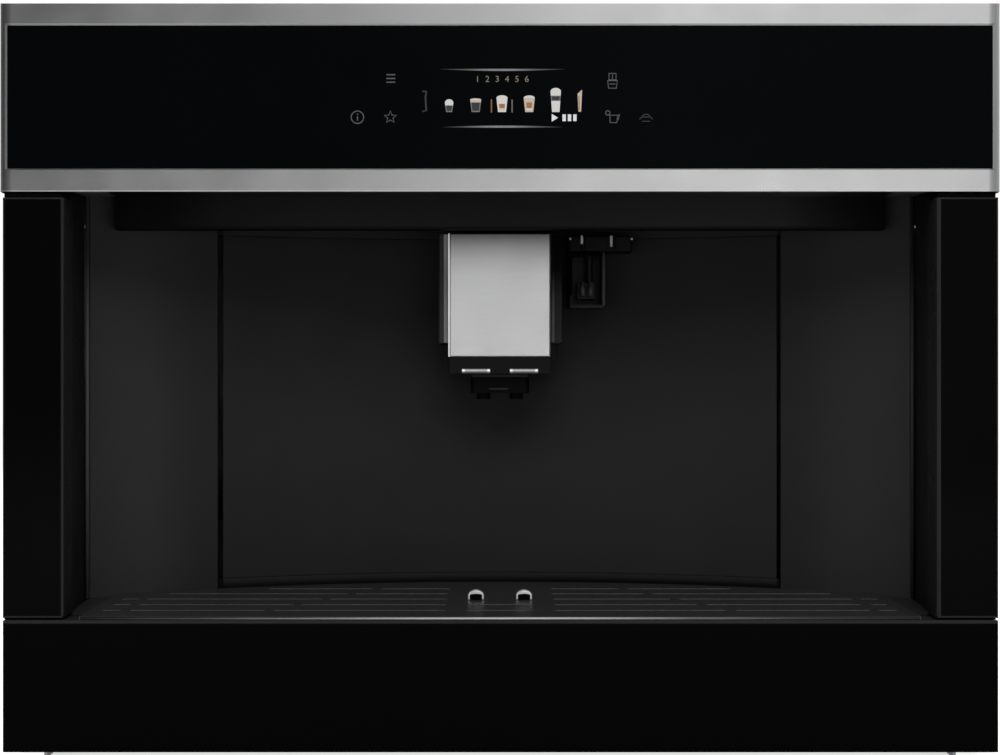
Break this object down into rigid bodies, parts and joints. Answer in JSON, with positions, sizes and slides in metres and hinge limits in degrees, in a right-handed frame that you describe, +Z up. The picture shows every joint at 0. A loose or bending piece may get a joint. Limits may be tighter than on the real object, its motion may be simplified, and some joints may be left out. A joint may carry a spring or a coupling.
{
  "type": "built in coffee machine",
  "caption": "Built in fully automatic coffee machine with a curved cup niche, a door behind the spouts, a drip tray drawer and pull out rails.",
  "frame": {"origin": "centre of the machine's bounding box, on the cabinet shelf", "axes": "+X to the right as seen from the front, +Y backwards into the cabinet, +Z up"},
  "size_m": [0.595, 0.413, 0.455],
  "materials": {
    "brushed_steel": "fine horizontal brushing",
    "black_glass": "polished, black behind",
    "gloss_black": "high gloss",
    "niche_dark": "satin dark grey",
    "spout_black": "satin black",
    "tray_dark": "satin dark grey",
    "chrome": "polished",
    "lamp": "frosted",
    "zinc_sheet": "zinc plated",
    "rail_steel": "bright zinc",
    "hinge_steel": "turned",
    "grey_plastic": "fine grained",
    "display": "dark board with display",
    "clear_plastic": "clear, smoke tinted",
    "hose_silicone": "translucent silicone",
    "cast_aluminium": "cast",
    "pump_body": "moulded coil and brass ends",
    "circuit_board": "solder resist"
  },
  "bodies": {
    "rails": {"rail_brackets": "rail_steel", "rail_outer_members": "rail_steel"},
    "rail_middle": {"rail_middle_members": "rail_steel"},
    "machine": {"rail_inner_members": "rail_steel", "base_pan": "zinc_sheet", "side_walls": "zinc_sheet", "rear_panel": "zinc_sheet", "top_cover": "zinc_sheet", "mid_deck": "zinc_sheet", "service_floor": "zinc_sheet", "front_frame": "zinc_sheet", "tray_shelf": "zinc_sheet", "service_partitions": "zinc_sheet", "service_cover": "grey_plastic", "mains_inlet": "grey_plastic", "column_right": "gloss_black", "column_left": "gloss_black", "niche_cheeks": "niche_dark", "niche_panel_left": "niche_dark", "niche_panel_right": "niche_dark", "niche_sill": "niche_dark", "niche_header": "niche_dark", "niche_ceiling": "niche_dark", "upper_bar": "niche_dark", "control_frame": "brushed_steel", "control_glass": "black_glass", "control_housing": "grey_plastic", "display_module": "display", "door_hinge": "hinge_steel", "water_tank": "clear_plastic", "tank_lid": "clear_plastic", "water_hose": "hose_silicone", "pump": "pump_body", "thermoblock": "cast_aluminium", "grounds_container": "grey_plastic", "brew_frame": "grey_plastic", "grinder_body": "grey_plastic", "bean_hopper": "clear_plastic", "powder_funnel": "grey_plastic", "power_board": "circuit_board"},
    "door": {"door_panel": "niche_dark", "door_liner": "grey_plastic", "spout_housing": "spout_black", "nozzle_holder": "spout_black"},
    "coffee_spout": {"spout_body": "spout_black", "spout_plate": "brushed_steel", "spout_lights": "lamp"},
    "water_spout": {"water_spout": "spout_black"},
    "drip_tray": {"lower_panel": "gloss_black", "drip_basin": "tray_dark"},
    "grille": {"cup_grille": "tray_dark", "drain_domes": "chrome"},
    "hopper_lid": {"hopper_lid": "clear_plastic"},
    "funnel_lid": {"funnel_lid": "grey_plastic"},
    "grind_knob": {"grind_knob": "grey_plastic"},
    "main_switch": {"main_switch": "spout_black"},
    "burr": {"burr_cone": "hinge_steel"},
    "brew_piston": {"brew_piston": "grey_plastic"},
    "brew_spindle": {"brew_spindle": "hinge_steel"}
  },
  "joints": [
    {"name": "machine_extension", "type": "slide", "parent": "rails", "child": "machine", "axis": [0, -1, 0], "range_m": [0, 0.3]},
    {"name": "rail_extension", "type": "slide", "parent": "rails", "child": "rail_middle", "axis": [0, -1, 0], "range_m": [0, 0.15]},
    {"name": "door_swing", "type": "hinge", "parent": "machine", "child": "door", "pos_m": [-0.181, -0.07196, 0.21], "axis": [0, 0, -1], "range_deg": [0, 95]},
    {"name": "spout_height", "type": "slide", "parent": "door", "child": "coffee_spout", "axis": [0, 0, -1], "range_m": [0, 0.042]},
    {"name": "water_spout_pull", "type": "slide", "parent": "door", "child": "water_spout", "axis": [0, -1, 0], "range_m": [0, 0.03]},
    {"name": "tray_pull", "type": "slide", "parent": "machine", "child": "drip_tray", "axis": [0, -1, 0], "range_m": [0, 0.18]},
    {"name": "grille_lift", "type": "slide", "parent": "drip_tray", "child": "grille", "axis": [0, 0, -1], "range_m": [-0.025, 0]},
    {"name": "hopper_lid_swing", "type": "hinge", "parent": "machine", "child": "hopper_lid", "pos_m": [0, 0.1725, 0.43], "axis": [-1, 0, 0], "range_deg": [0, 95]},
    {"name": "funnel_lid_swing", "type": "hinge", "parent": "machine", "child": "funnel_lid", "pos_m": [0, 0.0315, 0.412], "axis": [-1, 0, 0], "range_deg": [0, 85]},
    {"name": "grind_setting", "type": "hinge", "parent": "machine", "child": "grind_knob", "pos_m": [0.125, 0.0935, 0.394], "axis": [0, 0, 1], "range_deg": [-60, 60]},
    {"name": "mains_switch_rock", "type": "hinge", "parent": "machine", "child": "main_switch", "pos_m": [-0.12, -0.0265, 0.29], "axis": [1, 0, 0], "range_deg": [-6, 6]},
    {"name": "burr_spin", "type": "hinge", "parent": "machine", "child": "burr", "pos_m": [0, 0.0935, 0.3625], "axis": [0, 0, 1], "continuous": true},
    {"name": "spindle_turn", "type": "hinge", "parent": "machine", "child": "brew_spindle", "pos_m": [0, 0.0835, 0.21], "axis": [0, 0, 1], "range_deg": [0, 720]},
    {"name": "piston_lift", "type": "slide", "parent": "machine", "child": "brew_piston", "axis": [0, 0, 1], "range_m": [0, 0.024]}
  ],
  "couplings": [
    {"joint": "rail_extension", "follows": "machine_extension", "ratio": 0.5},
    {"joint": "spindle_turn", "follows": "piston_lift", "rad_per_m": 523.6}
  ]
}
